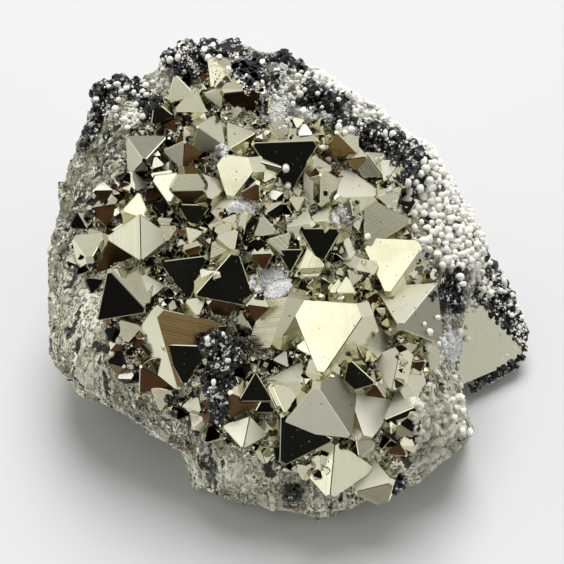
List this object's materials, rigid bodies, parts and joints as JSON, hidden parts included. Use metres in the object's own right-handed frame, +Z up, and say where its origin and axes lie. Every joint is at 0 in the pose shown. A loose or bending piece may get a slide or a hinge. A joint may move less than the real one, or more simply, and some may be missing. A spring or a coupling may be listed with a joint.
{
  "type": "pyrite specimen",
  "caption": "Loose hand specimen of octahedral pyrite crystals on massive pyrite, with black sphalerite lumps, a crust of white dolomite balls and quartz clusters; rests on a flat base.",
  "frame": {"origin": "on the surface that the specimen rests on, under the middle of its bounding box", "axes": "+Z up; +X along the longest side, to the right as the crystals are looked at from the front; +Y to the back"},
  "size_m": [0.0734, 0.067, 0.0452],
  "materials": {
    "pyrite": "natural metallic lustre, mirror-bright crystal faces and rough broken flanks",
    "sphalerite": "black, resinous, pitted",
    "dolomite": "white, matt to waxy balls",
    "quartz": "milky to clear needles"
  },
  "bodies": {
    "root": {"pyrite_mass": "pyrite", "sphalerite_front": "sphalerite", "sphalerite_top_left": "sphalerite", "sphalerite_crown": "sphalerite", "sphalerite_back_ridge": "sphalerite", "sphalerite_upper_right": "sphalerite", "sphalerite_shoulder": "sphalerite", "sphalerite_right_knob": "sphalerite", "sphalerite_base_knob": "sphalerite", "sphalerite_foot_knob": "sphalerite", "sphalerite_corner_rim": "sphalerite", "dolomite_crust": "dolomite", "quartz_cluster_1": "quartz", "quartz_cluster_2": "quartz", "quartz_cluster_3": "quartz", "quartz_cluster_4": "quartz", "quartz_cluster_5": "quartz"}
  },
  "joints": []
}
